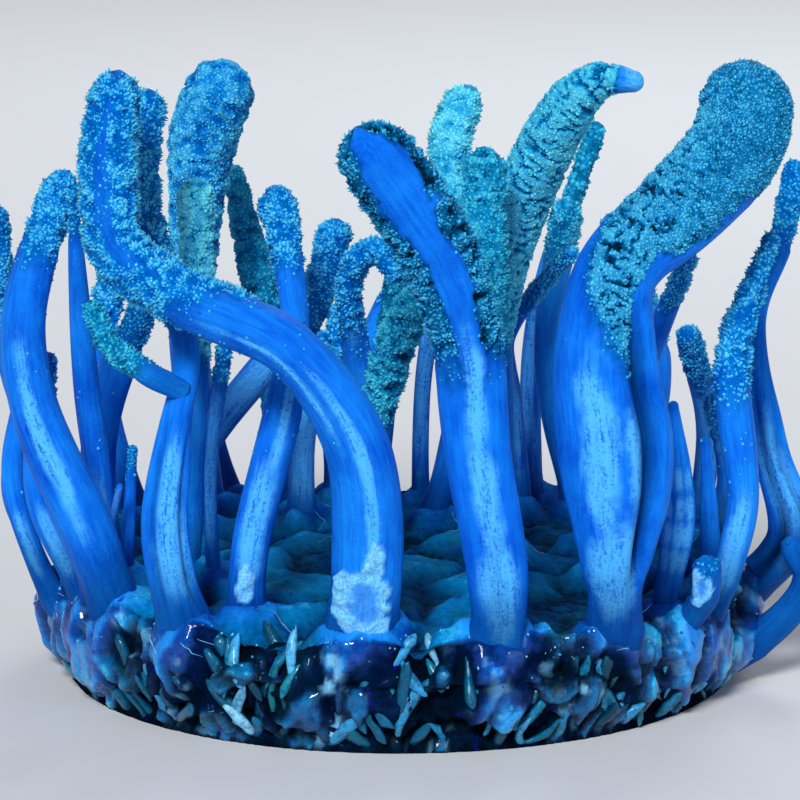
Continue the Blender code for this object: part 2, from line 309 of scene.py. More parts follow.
def solid_tree(names):
    """The CAD solids of some nodes as one tree for finding nearest points, in mm."""
    corners, faces = [], []
    for name in names:
        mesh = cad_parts[name].data
        faces += [tuple(len(corners) + k for k in p.vertices) for p in mesh.polygons]
        corners += [v.co / MM for v in mesh.vertices]
    return BVHTree.FromPolygons(corners, faces)


rough_cake = link(bpy.data.objects.new("rough_cake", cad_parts["grain_cake"].data.copy()))
remesh = rough_cake.modifiers.new("remesh", "REMESH")
remesh.mode = "VOXEL"
remesh.voxel_size = CAKE_VOXEL * MM
remeshed = rough_cake.evaluated_get(bpy.context.evaluated_depsgraph_get())
cake_mesh = bpy.data.meshes.new_from_object(remeshed)
bpy.data.objects.remove(rough_cake, do_unlink=True)
CAKE_TREE = solid_tree(["grain_cake"])
CLUB_TREE = solid_tree(CLUBS)
CAKE_FEET = [min((v.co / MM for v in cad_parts[name].data.vertices), key=lambda corner: corner.z)
             for name in CLUBS]

points = np.array([v.co for v in cake_mesh.vertices]) / MM
normals = np.array([v.normal for v in cake_mesh.vertices])
on_top = step(normals[:, 2], 0.45, 0.85) * step(points[:, 2], 6.0, 9.0)
under = step(-normals[:, 2], 0.8, 0.98) * (points[:, 2] < 1.0)
on_side = np.clip(1.0 - on_top - under, 0.0, 1.0)

spread = np.random.default_rng(11)
reach = CAKE_RADIUS * np.sqrt(spread.random(PILLOW_COUNT))
turn = spread.random(PILLOW_COUNT) * math.tau
pillows = np.stack([reach * np.cos(turn), reach * np.sin(turn)], axis=1)
warped = points[:, :2] + 1.2 * np.stack([noise(points, 4.0), noise(points, 4.0, 9.3)], axis=1)
gaps = np.sort(np.linalg.norm(warped[:, None] - pillows[None], axis=2), axis=1)
pillow = step(gaps[:, 1] - gaps[:, 0], -0.25 * PILLOW_WIDTH, 0.9 * PILLOW_WIDTH)
warp = 1.1 * np.stack([noise(points, 2.6, 1.1), noise(points, 2.6, 5.7), noise(points, 2.6, 8.3)], axis=1)
bent = points + warp


def billow(size, shift=0.0):
    """Rounded lumps of the given size with sharp creases between them, from 0 to 1."""
    return np.clip(1.7 * np.abs(noise(bent, size, shift)), 0.0, 1.0)


top_height = 0.62 * pillow + 0.30 * billow((5.0, 5.0, 5.0))
top_height = top_height + 0.06 * billow(1.8, 3.1) + 0.02 * billow(0.9, 6.2)
holes = step(noise(bent, (2.4, 2.4, 3.2), 2.6), -0.25, 0.2)
ragged = 0.44 * holes + 0.36 * billow((1.9, 1.9, 4.2), 1.9)
ragged = ragged + 0.14 * billow(1.2, 4.1) + 0.06 * billow(0.7, 7.3)
nearest = np.array([CLUB_TREE.find_nearest(Vector(p))[0] for p in points])
from_club = points - nearest
from_club[:, 2] *= np.where(from_club[:, 2] < 0.0, DRIP_STRETCH, 1.0)
near_club = np.linalg.norm(from_club, axis=1)
drip = 0.5 + 0.5 * noise(bent, (1.6, 1.6, 9.0), 3.5)
skirt = np.exp(-((near_club / (1.0 + 2.4 * drip**2)) ** 2))
film = step(noise(points, (4.0, 4.0, 6.0), 4.4) + 0.6 * skirt, 0.2, 0.5)
side_height = np.clip(ragged * (1.0 - 0.2 * film) + 0.34 * film, 0.0, 1.0)
rim = step(np.hypot(points[:, 0], points[:, 1]), CAKE_RADIUS - 7.0, CAKE_RADIUS - 2.0)
push = on_top * (-TOP_RELIEF * (1.0 - top_height) * (1.0 - 0.5 * skirt) + 1.2 * skirt)
push = push + on_top * rim * (0.9 * noise(bent, (2.4, 2.4, 2.4), 6.4) - 0.5 * billow(1.5, 2.3))
push = push + on_side * (0.9 * skirt - SIDE_RELIEF * (1.0 - side_height) * (1.0 - 0.9 * skirt))
points = points + normals * push[:, None]
points[:, 2] = np.where(under > 0.5, 0.0, np.maximum(points[:, 2], 0.02))
# The red mark: low in the creases and high on the crests; the material paints shade and light from it.
height = on_top * (0.14 + 0.74 * top_height) + on_side * 0.95 * side_height**2.8 + 0.22 * skirt
# Pale crust on the side's lumps, partly crumbs and partly painted glints.
crust = step(noise(points, (0.8, 0.8, 1.4), 2.2), 0.3, 0.6) * step(noise(points, 4.0, 7.7), -0.1, 0.4)
crust = crust * on_side * holes
blue = np.clip(0.10 * film * on_side + 1.2 * skirt * step(drip, -0.1, 0.45), 0.0, 1.0)
gloss = (1.0 - on_top) * step(height, 0.1, 0.6)
marks = np.stack([np.clip(height, 0.0, 1.0), blue, 0.85 * crust, gloss], axis=1)
faces = [tuple(p.vertices) for p in cake_mesh.polygons]
cake_body = new_piece("cake_body", points, faces, marks, points, cake_material(), ["grain_cake"])
bpy.data.meshes.remove(cake_mesh)

# ---- The grains in the cake's side -------------------------------------------------------------------
# Slender rice grains, pressed against the jar's wall as the cake grew, in ragged rows that lean with the
# side. Some are clean and pale, others are filmed over with mycelium and dull.
GRAIN_ROWS = (1.3, 3.4, 5.8, 8.2, 10.4)
GRAIN_SPACING = 2.1
GRAIN_LENGTH = (3.0, 5.8)
GRAIN_RADIUS = (0.38, 0.70)
GRAIN_RINGS = 9
GRAIN_SIDES = 8
GRAINS_MISSING = (0.15, 0.20, 0.25, 0.35, 0.60)


def grain_material():
    """marks: red is how clean the grain is, green differs from grain to grain."""
    material, tree, shader = node_tree("rice_grain")
    read = add(tree, "Attribute", attribute_name="marks")
    marks = add(tree, "SeparateColor", {"Color": read.outputs["Color"]})
    place = add(tree, "Attribute", attribute_name="grown").outputs["Vector"]
    relief = add(tree, "Group", {"Place": place, "Per mm": 1.4, "Depth": 0.00025}, node_tree=FINE_RELIEF)
    clean = ramp(tree, marks.outputs["Green"], (0.0, (0.006, 0.20, 0.26, 1)), (0.4, (0.006, 0.22, 0.50, 1)),
                 (0.8, (0.06, 0.42, 0.80, 1)), (1.0, (0.30, 0.70, 1.0, 1)))
    dull = ramp(tree, marks.outputs["Green"], (0.0, (0.0, 0.02, 0.05, 1)), (1.0, (0.0, 0.13, 0.27, 1)))
    body = blend(tree, marks.outputs["Red"], dull, clean)
    soiled = add(tree, "MapRange", {"Value": relief.outputs["Amount"], "From Min": 0.46, "From Max": 0.64,
                                    "To Min": 0.0, "To Max": 0.7})
    body = blend(tree, soiled.outputs[0], body, (0.0, 0.04, 0.08, 1))
    tree.links.new(body, shader.inputs["Base Color"])
    tree.links.new(relief.outputs["Normal"], shader.inputs["Normal"])
    shader.inputs["Roughness"].default_value = 0.14
    shader.inputs["Specular IOR Level"].default_value = 0.6
    shader.inputs["Coat Weight"].default_value = 0.3
    shader.inputs["Coat Roughness"].default_value = 0.06
    shader.inputs["Specular Tint"].default_value = GLINT
    shader.inputs["Subsurface Weight"].default_value = 0.15
    shader.inputs["Subsurface Radius"].default_value = (0.4, 0.7, 1.0)
    shader.inputs["Subsurface Scale"].default_value = 0.0005
    return material


def tube_faces(rings, sides, first=0):
    """Quads between closed rings that are stored one after another, facing out."""
    low = first + np.arange(rings - 1)[:, None] * sides + np.arange(sides)[None]
    following = first + np.arange(rings - 1)[:, None] * sides + (np.arange(sides)[None] + 1) % sides
    return np.stack([low, following, following + sides, low + sides], axis=-1).reshape(-1, 4)


pick = np.random.default_rng(23)
grain_points, grain_faces, grain_marks = [], [], []
count = 0
for row, level in enumerate(GRAIN_ROWS):
    in_row = int(math.tau * CAKE_RADIUS / GRAIN_SPACING)
    for k in range(in_row):
        around = math.tau * (k + 0.5 * (row % 2) + pick.uniform(-0.3, 0.3)) / in_row
        outward = Vector((math.cos(around), math.sin(around), 0.0))
        z = level + pick.uniform(-0.9, 0.9)
        if pick.random() < GRAINS_MISSING[row]:
            continue
        hit, normal, _, _ = CAKE_TREE.ray_cast(outward * 60 + Vector((0, 0, max(z, 1.2))), -outward)
        sideways = Vector((0, 0, 1)).cross(normal).normalized()
        down = sideways.cross(normal).normalized()
        lean = -0.35 * math.cos(around) + pick.normal(0.0, 0.6)
        along = (down + sideways * lean).normalized()
        across = along.cross(normal).normalized()
        length = pick.uniform(*GRAIN_LENGTH)
        radius = pick.uniform(*GRAIN_RADIUS)
        clean = float(step(pick.random(), 0.45, 0.95))
        sunk = pick.uniform(0.0, 1.0) if row == 0 else pick.uniform(0.7, 2.3 - 1.3 * clean)
        centre = hit - normal * (radius + sunk)
        centre.z = max(centre.z, radius + 0.25 * length * abs(along.z))
        bow = pick.normal(0.0, 0.42)
        chance_side = pick.choice((-1.0, 1.0))
        t = np.sin(np.linspace(-math.pi / 2, math.pi / 2, GRAIN_RINGS))
        girth = radius * np.clip(1.0 - np.abs(t) ** 2.6, 0.02, 1.0) ** 0.5 * (1.0 + 0.12 * t * chance_side)
        spokes = np.arange(GRAIN_SIDES) * math.tau / GRAIN_SIDES
        spine_line = np.array(centre) + t[:, None] * 0.5 * length * np.array(along)
        spine_line = spine_line + (bow * (1 - t**2))[:, None] * np.array(across)
        side = np.cos(spokes)[None, :, None] * np.array(across)
        side = side + 0.8 * np.sin(spokes)[None, :, None] * np.array(normal)
        rings = spine_line[:, None] + girth[:, None, None] * side
        rings = rings + 0.26 * noise(rings, 0.9, 3.0)[..., None] * side
        grain_points.append(rings.reshape(-1, 3))
        grain_faces += tube_faces(GRAIN_RINGS, GRAIN_SIDES, count).tolist()
        first, last = count, count + (GRAIN_RINGS - 1) * GRAIN_SIDES
        grain_faces.append([first + k for k in reversed(range(GRAIN_SIDES))])
        grain_faces.append([last + k for k in range(GRAIN_SIDES)])
        grain_marks.append(np.tile([clean, pick.random(), 0.0, 1.0], (GRAIN_RINGS * GRAIN_SIDES, 1)))
        count += GRAIN_RINGS * GRAIN_SIDES
grain_points = np.concatenate(grain_points)
grain_points[:, 2] = np.maximum(grain_points[:, 2], 0.05)
new_piece("side_grains", grain_points, grain_faces, np.concatenate(grain_marks), grain_points,
          grain_material(), ["grain_cake"])

# ---- The threads and crumbs round the rim ------------------------------------------------------------
# Loose threads of mycelium that creep out from the clubs' feet over the cake, and dry crumbs of it caught
# on the rim. Each thread is a fine tube laid on the cake's skin.
THREAD_COUNT = 90
THREAD_RADIUS = 0.06
THREAD_LENGTH = (2.5, 6.0)
THREAD_STEP = 0.4
THREAD_START = 2.2
CRUMB_COUNT = 240
CRUMB_SIZE = (0.07, 0.20)


def unit(vectors):
    return vectors / np.maximum(np.linalg.norm(vectors, axis=-1, keepdims=True), 1e-9)


thread_material, thread_tree, thread_shader = node_tree("dry_mycelium")
thread_place = add(thread_tree, "Attribute", attribute_name="grown").outputs["Vector"]
thread_relief = add(thread_tree, "Group", {"Place": thread_place, "Per mm": 2.0, "Depth": 0.0001},
                    node_tree=FINE_RELIEF)
thread_colour = ramp(thread_tree, thread_relief.outputs["Amount"], (0.35, (0.01, 0.22, 0.55, 1)),
                     (0.6, (0.22, 0.62, 0.95, 1)))
thread_tree.links.new(thread_colour, thread_shader.inputs["Base Color"])
thread_tree.links.new(thread_relief.outputs["Normal"], thread_shader.inputs["Normal"])
thread_shader.inputs["Roughness"].default_value = 0.4

skin_tree = BVHTree.FromObject(cake_body, bpy.context.evaluated_depsgraph_get())
thread_points, thread_faces, count = [], [], 0
for _ in range(THREAD_COUNT):
    foot = pick.choice(len(CAKE_FEET))
    around = pick.uniform(0.0, math.tau)
    spot = Vector(CAKE_FEET[foot]) + THREAD_START * Vector((math.cos(around), math.sin(around), 0.0))
    heading = around
    line = []
    for _ in range(int(pick.uniform(*THREAD_LENGTH) / THREAD_STEP)):
        heading += pick.normal(0.0, 0.35)
        spot = spot + THREAD_STEP * Vector((math.cos(heading), math.sin(heading), -0.3))
        on_skin, normal, _, _ = skin_tree.find_nearest(spot * MM)
        spot = on_skin / MM + THREAD_RADIUS * normal
        line.append((*spot, *normal))
    line = np.array(line)
    ways = unit(np.gradient(line[:, :3], axis=0))
    across = unit(np.cross(ways, line[:, 3:]))
    spokes = np.arange(4) * math.tau / 4
    thin = THREAD_RADIUS * pick.uniform(0.5, 1.2) * np.sin(np.linspace(0.4, math.pi - 0.2, len(line)))
    ring = np.cos(spokes)[None, :, None] * across[:, None] + np.sin(spokes)[None, :, None] * line[:, None, 3:]
    thread_points.append((line[:, None, :3] + thin[:, None, None] * ring).reshape(-1, 3))
    thread_faces += tube_faces(len(line), 4, count).tolist()
    last = count + 4 * (len(line) - 1)
    thread_faces += [[count + 3, count + 2, count + 1, count], [last, last + 1, last + 2, last + 3]]
    count += 4 * len(line)
for _ in range(CRUMB_COUNT):
    around = pick.uniform(0.0, math.tau)
    reach = CAKE_RADIUS + pick.normal(-1.5, 1.8)
    above = Vector((reach * math.cos(around), reach * math.sin(around), pick.uniform(8.0, 14.0)))
    on_skin, normal, _, _ = skin_tree.find_nearest(above * MM)
    size = pick.uniform(*CRUMB_SIZE)
    corners = pick.normal(0.0, 1.0, (6, 3))
    hull = np.array([[1, 0, 0], [-1, 0, 0], [0, 1, 0], [0, -1, 0], [0, 0, 1], [0, 0, -1]]) + 0.3 * corners
    thread_points.append(np.array(on_skin) / MM + size * hull)
    for a, b in itertools.product((0, 1), (2, 3)):
        for c in (4, 5):
            turned = (a + b + c) % 2
            thread_faces.append([count + k for k in ((a, b, c) if turned == 0 else (b, a, c))])
    count += 6
thread_points = np.concatenate(thread_points)
new_piece("rim_threads", thread_points, thread_faces, np.ones((count, 4)), thread_points, thread_material,
          ["grain_cake"])

# ---- How every club is grown -------------------------------------------------------------------------
# Soft flesh that is smooth and finely streaked on the stem and covered in small conical papillae on the
# fertile head. A club is lofted along its spine, then the papillae are joined to its skin.
RING_STEP = 0.33
SKIN_STEP = 0.36
MOST_SIDES = 150
STEM_INSET = 0.12
SPIKE_SIDES = 4
SPIKE_STOUTNESS = 0.60
SPIKE_SCATTER = 0.45
FURROW_SPREAD = 15.0
TIP_RINGS = 2


def club_skin():
    """Shared by the club materials. marks: red is fertile, green the head's height, low where the valleys'
    painted shade goes, or the stem's crust, blue pale flesh that is partly bruise and partly painted
    highlight, alpha painted shade. The growth coordinates run round and along the club, in mm."""
    tree, given, result = node_group(
        "club_skin",
        [(label, "Color", (0.0, 0.1, 0.5, 1.0)) for label in ("Deep", "Bright", "Valley shade", "Head", "Tip")],
        [("Colour", "Color"), ("Roughness", "Float"), ("Normal", "Vector")])
    read = add(tree, "Attribute", attribute_name="marks")
    marks = add(tree, "SeparateColor", {"Color": read.outputs["Color"]})
    place = add(tree, "Attribute", attribute_name="grown").outputs["Vector"]
    fine = add(tree, "Group", {"Place": place, "Per mm": 3.5, "Depth": 0.0002}, node_tree=FINE_RELIEF)
    long_way = add(tree, "VectorMath", {0: place, 1: (2.6, 2.6, 0.24)}, operation="MULTIPLY").outputs[0]
    streak = add(tree, "TexNoise", {"Vector": long_way, "Scale": 1.0, "Detail": 6.0,
                                    "Roughness": 0.66}).outputs["Fac"]
    mottle = add(tree, "TexNoise", {"Vector": place, "Scale": 0.2, "Detail": 3.0}).outputs["Fac"]
    mixed = add(tree, "Math", {0: streak, 1: mottle}, operation="ADD")
    vein = add(tree, "MapRange", {"Value": mixed.outputs[0], "From Min": 0.62, "From Max": 1.36})
    stem = blend(tree, vein.outputs[0], given["Deep"], given["Bright"])
    # Pale patches, streaked along the stem: partly bruised flesh and partly painted highlight.
    spread = add(tree, "Math", {0: streak, 1: fine.outputs["Amount"]}, operation="ADD")
    pale_streaks = add(tree, "MapRange", {"Value": spread.outputs[0], "From Min": 0.80, "From Max": 1.02,
                                  "To Min": 0.1, "To Max": 1.05})
    bruise_and_highlight = add(tree, "Math", {0: marks.outputs["Blue"], 1: pale_streaks.outputs[0]}, operation="MULTIPLY")
    stem = blend(tree, bruise_and_highlight.outputs[0], stem, (0.08, 0.46, 1.0, 1))
    crumb = ramp(tree, fine.outputs["Amount"], (0.35, (0.05, 0.38, 0.90, 1)), (0.6, (0.26, 0.68, 1.0, 1)))
    scab = add(tree, "Math", {0: marks.outputs["Green"], 1: marks.outputs["Red"]}, operation="SUBTRACT",
               use_clamp=True)
    stem = blend(tree, scab.outputs[0], stem, crumb)
    lit = add(tree, "MapRange", {"Value": fine.outputs["Amount"], "From Min": 0.3, "From Max": 0.7,
                                 "To Min": -0.14, "To Max": 0.14})
    rise = add(tree, "Math", {0: marks.outputs["Green"], 1: lit.outputs[0]}, operation="ADD", use_clamp=True)
    low = add(tree, "MapRange", {"Value": rise.outputs[0], "From Min": 0.05, "From Max": 0.42})
    high = add(tree, "MapRange", {"Value": rise.outputs[0], "From Min": 0.42, "From Max": 1.0})
    # The valley colour is painted shade in the hollows between the head's folds and lumps.
    crown = blend(tree, low.outputs[0], given["Valley shade"], given["Head"])
    crown = blend(tree, high.outputs[0], crown, given["Tip"])
    flesh = blend(tree, marks.outputs["Red"], stem, crown)
    # Painted shade: the alpha mark blends the flesh towards dark blue.
    flesh = blend(tree, read.outputs["Alpha"], (0.0, 0.012, 0.05, 1), flesh)
    rough = add(tree, "MapRange", {"Value": marks.outputs["Red"], "To Min": 0.36, "To Max": 0.55})
    tree.links.new(flesh, result["Colour"])
    tree.links.new(rough.outputs[0], result["Roughness"])
    tree.links.new(fine.outputs["Normal"], result["Normal"])
    return tree


CLUB_SKIN = club_skin()


def club_material(name, deep, bright, valley_shade, head, tip):
    """Flesh with its own colours, the stem's deep and bright and the head's lumps and tips, and a valley
    colour that is painted shade in the head's hollows.
    """
    material, tree, shader = node_tree(name)
    skin = add(tree, "Group", {"Deep": deep, "Bright": bright, "Valley shade": valley_shade, "Head": head, "Tip": tip},
               node_tree=CLUB_SKIN)
    tree.links.new(skin.outputs["Colour"], shader.inputs["Base Color"])
    tree.links.new(skin.outputs["Roughness"], shader.inputs["Roughness"])
    tree.links.new(skin.outputs["Normal"], shader.inputs["Normal"])
    shader.inputs["Subsurface Weight"].default_value = 0.15
    shader.inputs["Subsurface Radius"].default_value = (0.2, 0.5, 1.0)
    shader.inputs["Subsurface Scale"].default_value = 0.0008
    shader.inputs["Specular IOR Level"].default_value = 0.05
    shader.inputs["Specular Tint"].default_value = GLINT
    return material


# Each valley colour is a painted shade, darkest on the ridged flesh.
BLUE_FLESH = club_material(
    "blue_flesh", deep=(0.0, 0.055, 0.56, 1), bright=(0.010, 0.28, 0.98, 1), valley_shade=(0.0, 0.04, 0.34, 1),
    head=(0.0, 0.19, 0.62, 1), tip=(0.12, 0.74, 1.0, 1))
RIDGED_FLESH = club_material(
    "ridged_flesh", deep=(0.0, 0.06, 0.58, 1), bright=(0.008, 0.25, 0.96, 1), valley_shade=(0.0, 0.010, 0.028, 1),
    head=(0.002, 0.16, 0.42, 1), tip=(0.09, 0.62, 0.96, 1))
CREAM_FLESH = club_material(
    "cream_flesh", deep=(0.0, 0.12, 0.62, 1), bright=(0.02, 0.38, 1.0, 1), valley_shade=(0.0, 0.05, 0.20, 1),
    head=(0.004, 0.30, 0.64, 1), tip=(0.17, 0.84, 1.0, 1))
TEAL_FLESH = club_material(
    "teal_flesh", deep=(0.0, 0.07, 0.48, 1), bright=(0.012, 0.30, 0.88, 1), valley_shade=(0.0, 0.03, 0.10, 1),
    head=(0.002, 0.22, 0.48, 1), tip=(0.07, 0.62, 0.82, 1))


def club_rings(name):
    """Reads a club's imported solid as rings of corners from foot to tip, its tip, and its cut foot."""
    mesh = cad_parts[name].data
    corners = np.array([v.co for v in mesh.vertices]) / MM
    places, same = np.unique(np.round(corners, 3), axis=0, return_inverse=True)
    same = same.ravel()
    joined = [set() for _ in places]
    for edge in mesh.edges:
        first, second = same[edge.vertices[0]], same[edge.vertices[1]]
        if first != second:
            joined[first].add(second)
            joined[second].add(first)

    def levels(start):
        found, seen = [{start}], {start}
        while found[-1]:
            found.append(set().union(*(joined[k] for k in found[-1])) - seen)
            seen |= found[-1]
        return found[:-1]

    def even_rings(start):
        found = levels(start)
        return [ring for ring in itertools.takewhile(lambda ring: len(ring) == len(found[1]), found[1:])]

    far = levels(int(places[:, 2].argmin()))
    tip = max(set().union(*far[-3:]), key=lambda k: len(even_rings(k)))
    rings = [sorted(ring) for ring in even_rings(tip)][::-1]
    used = set().union(*rings) | {tip}
    cut = [k for k in range(len(places)) if k not in used]
    return [places[ring] for ring in rings], places[tip], places[cut].mean(axis=0)


def curve(points, along):
    """A smooth curve through rows of values, read at any distances along it."""
    low = np.maximum(np.arange(len(points)) - 1, 0)
    high = np.minimum(np.arange(len(points)) + 1, len(points) - 1)
    slopes = (points[high] - points[low]) / (along[high] - along[low])[:, None]

    def at(distance):
        i = np.clip(np.searchsorted(along, distance, side="right") - 1, 0, len(along) - 2)
        span = (along[i + 1] - along[i])[:, None]
        t = (distance - along[i])[:, None] / span
        return (
            points[i] * (2 * t**3 - 3 * t**2 + 1)
            + slopes[i] * span * (t**3 - 2 * t**2 + t)
            + points[i + 1] * (3 * t**2 - 2 * t**3)
            + slopes[i + 1] * span * (t**3 - t**2)
        )

    return at


def carried(ahead):
    """The direction across a club at each place on its spine, carried along without a twist."""
    across = np.zeros_like(ahead)
    side = np.cross(ahead[0], (0.0, 1.0, 0.0))
    for k, way in enumerate(ahead):
        side = side - way * side.dot(way)
        side = side / np.linalg.norm(side)
        across[k] = side
    return across


def patch(distance, facing, ragged, spots, soft=0.14):
    """How far each place is inside oval spots, each given as (facing, half width in degrees, start, end)."""
    amount = np.zeros(ragged.shape)
    for middle, half_width, start, end in spots:
        away = np.abs((facing - middle + 180.0) % 360.0 - 180.0) / half_width
        ahead = np.abs(2.0 * distance - start - end) / (end - start)
        oval = (away**2.4 + ahead**2.4) ** (1 / 2.4) + 0.30 * ragged
        amount = np.maximum(amount, step(1.0 - oval, -0.08, soft))
    return amount


def grow(name, fertile=-8.0, slant=(0.0, 0.0), fade=3.0, spikes=(0.62, 0.75), lumps=0.26,
         folds=0.0, even_folds=1.0, finer=1.0, thin=(), bare=(), pale=(), crust=(), furrows=(), flutes=0.0,
         sparse=0.0, fold_size=1.0, ground=0.34, material=BLUE_FLESH, slot="blue_club"):
    """Grows one club. Facings are in degrees: 0 left, 90 front, 180 right. A length below 0 is from the tip.

    fertile is where the head starts, slant how far and towards which facing that edge tilts, and fade how
    soft it is. spikes are the papillae's gap and length. lumps and folds are the head's relief, even_folds
    how much of the folds is left far up it, and fold_size and ground their size and base height. thin, bare,
    pale and crust are lists of spots, furrows are (facing, depth, start, end), and flutes ripple the stem.
    sparse is the chance of a lone papilla on the stem, and finer scales the mesh.
    """
    rings, tip, cut = club_rings(name)
    seed = sum(map(ord, name))
    chance = np.random.default_rng(seed)
    rings = rings[:-TIP_RINGS]
    centres = np.array([ring.mean(axis=0) for ring in rings])
    if np.linalg.norm(centres[0] - cut) > 1.5:
        centres = np.concatenate([cut[None], centres])
        rings = rings[:1] + rings
    ways = unit(np.gradient(centres, axis=0))
    sideways = carried(ways)
    upright = np.cross(ways, sideways)
    offsets = [ring - ring.mean(axis=0) for ring in rings]
    wide = [math.sqrt(2 * np.mean((o @ a) ** 2)) for o, a in zip(offsets, sideways)]
    thick = [math.sqrt(2 * np.mean((o @ d) ** 2)) for o, d in zip(offsets, upright)]
    along = np.concatenate([[0.0], np.cumsum(np.linalg.norm(np.diff(centres, axis=0), axis=1))])
    at = curve(np.column_stack([centres, wide, thick]), along)
    shoulder = along[-1]
    tip_radius = np.linalg.norm(tip - centres[-1])
    length = shoulder + tip_radius
    bulge = np.radians(np.linspace(0.0, 87.0, 9))[1:]
    root_depth = 1.0 + 1.1 * wide[0]
    even = np.linspace(-root_depth, shoulder, max(6, int((shoulder + root_depth) / (RING_STEP * finer))))
    distance = np.concatenate([even, shoulder + tip_radius * np.sin(bulge)])
    swell = np.concatenate([np.ones(len(even)), np.cos(bulge)])
    nose = np.concatenate([np.zeros(len(even)), np.sin(bulge)])
    here = at(np.clip(distance, 0.0, shoulder))
    before, after = np.clip(distance - 0.05, 0.0, shoulder - 0.05), np.clip(distance + 0.05, 0.05, shoulder)
    ahead = unit(at(after)[:, :3] - at(before)[:, :3])
    here[:, :3] += ahead * (distance - np.clip(distance, 0.0, shoulder))[:, None]
    across = carried(ahead)
    deep = np.cross(ahead, across)
    flatness = float(np.mean(np.array(thick) / np.array(wide)))

    half_width = here[:, 3] * swell
    half_depth = here[:, 4] * swell
    sides = int(np.clip(math.tau * here[:, 3].max() / (SKIN_STEP * finer), 14, MOST_SIDES))
    angle = np.arange(sides) * math.tau / sides
    facing = np.degrees(angle)[None]
    cosine, sine = np.cos(angle)[None, :, None], np.sin(angle)[None, :, None]
    skin = here[:, None, :3] + across[:, None] * cosine * half_width[:, None, None]
    skin = skin + deep[:, None] * sine * half_depth[:, None, None]
    out = unit(across[:, None] * cosine * flatness + deep[:, None] * sine)
    out = unit(out * swell[:, None, None] + ahead[:, None] * nose[:, None, None])
    along = np.broadcast_to(distance[:, None], (len(distance), sides))
    grown = np.stack([
        half_width[:, None] * np.cos(angle)[None],
        half_depth[:, None] * np.sin(angle)[None],
        along,
    ], axis=-1) + 0.37 * (seed % 97)

    def from_tip(value):
        return length + value if value < 0 else value

    def spots(listed):
        """Spots with both ends read from the foot. One that ends at 0 goes right over the tip."""
        read = [(middle, wide, from_tip(start), from_tip(end)) for middle, wide, start, end in listed]
        return [(middle, wide, start, end if end > start else 2 * length - start)
                for middle, wide, start, end in read]

    ragged = noise(grown, (1.5, 1.5, 2.6), 3.3) + 0.5 * noise(grown, 0.6, 8.8)
    spike_gap, spike_length = spikes
    edge = from_tip(fertile) + slant[0] * np.cos(np.radians(facing - slant[1]))
    ripe = step(along - edge + 1.5 * ragged, -0.5 * fade, 0.5 * fade)
    ripe = ripe * (1.0 - patch(along, facing, ragged, spots(bare)))
    ripe = ripe * (1.0 - 0.6 * patch(along, facing, ragged, spots(thin)))
    # The pale spots are partly bruised flesh and partly painted highlight.
    bruise_and_highlight = patch(along, facing, 0.8 * ragged, spots(pale), 0.5)
    scab = patch(along, facing, 2.0 * ragged, spots(crust), 0.14)
    inner = [(middle, 0.45 * wide, start + 0.25 * (end - start), end - 0.2 * (end - start)) for
             middle, wide, start, end in spots(crust) if wide > 30]
    core = patch(along, facing, 1.8 * ragged, inner, 0.3)

    crumpled = grown + 0.4 * noise(grown, 1.1)[..., None]
    ridges = step(np.abs(noise(crumpled, np.array((3.0, 3.0, 0.8)) * fold_size)), 0.0, 0.26)
    clumps = step(noise(grown, 0.68, 5.1), -0.55, 0.45)
    depth_here = folds * (1.0 - (1.0 - even_folds) * step(along - edge, 8.0, 24.0))
    relief = depth_here * (ridges - 0.85) * 1.9 + lumps * (clumps - 0.5)
    lines = noise(grown, (0.45, 0.45, 8.0), 1.7)
    broad_lines = noise(grown, (2.2, 2.2, 14.0), 6.1)
    stem_relief = -STEM_INSET + 0.04 * lines + (0.12 + flutes) * (broad_lines - 0.3)
    stem_relief = stem_relief - 0.12 * bruise_and_highlight * np.abs(ragged)
    stem_relief = stem_relief + scab * (0.24 + 0.34 * noise(grown, 0.8, 2.9)) * (1.0 - 0.8 * core)
    groove = np.zeros_like(ragged)
    for middle, depth, start, end in furrows:
        away = np.abs((facing - middle + 180.0) % 360.0 - 180.0)
        window = step(along, start - 3.0, start + 3.0) * step(end - along, -4.0, 4.0)
        groove = groove + depth * window * np.exp(-((away / FURROW_SPREAD) ** 2))
    head_relief = -0.8 * spike_length - 0.4 * folds + relief
    taper = np.clip(half_width / 1.6, 0.1, 1.0)[:, None]
    push = taper * ((1.0 - ripe) * stem_relief + ripe * head_relief - groove)
    skirt = np.exp(-np.maximum(along, 0.0) / 2.4) * (0.10 + 0.24 * noise(grown, (1.4, 1.4, 5.0), 4.8))
    skirt = skirt * half_width[:, None] * np.clip(1.0 + along / root_depth, 0.0, 1.0)
    skin = skin + out * (push + skirt * (along < 0.5 * length))[..., None]
    # The head's colour height: low in the valleys of its folds and between clumps, where the valley colour
    # paints shade.
    high = np.clip(ground + 2.2 * depth_here * (ridges - 0.62) + 0.8 * lumps * (clumps - 0.5), 0.0, 0.78)
    # Painted shade: darker towards the cake's top and in the furrows, lifted where there is crust.
    shade = step(here[:, 2] - CAKE_TOP, -1.0, 6.0)[:, None] * 0.6 + 0.4
    shade = np.clip(shade + scab - 0.45 * groove, 0.0, 1.0)
    crusted = scab * (1.0 - 0.75 * core)
    height = ripe * high + (1.0 - ripe) * crusted
    marks = np.stack([ripe, height, 0.95 * bruise_and_highlight * (1.0 - scab), shade], axis=-1)

    rings = len(distance)
    points = [skin.reshape(-1, 3), (skin[-1].mean(axis=0) + 0.05 * ahead[-1])[None]]
    faces = tube_faces(rings, sides).tolist()
    pole = rings * sides
    last = (rings - 1) * sides
    faces += [[last + k, last + (k + 1) % sides, pole] for k in range(sides)]
    faces.append(list(reversed(range(sides))))
    all_marks = [marks.reshape(-1, 4), marks[-1, :1]]
    all_grown = [grown.reshape(-1, 3), grown[-1, :1]]

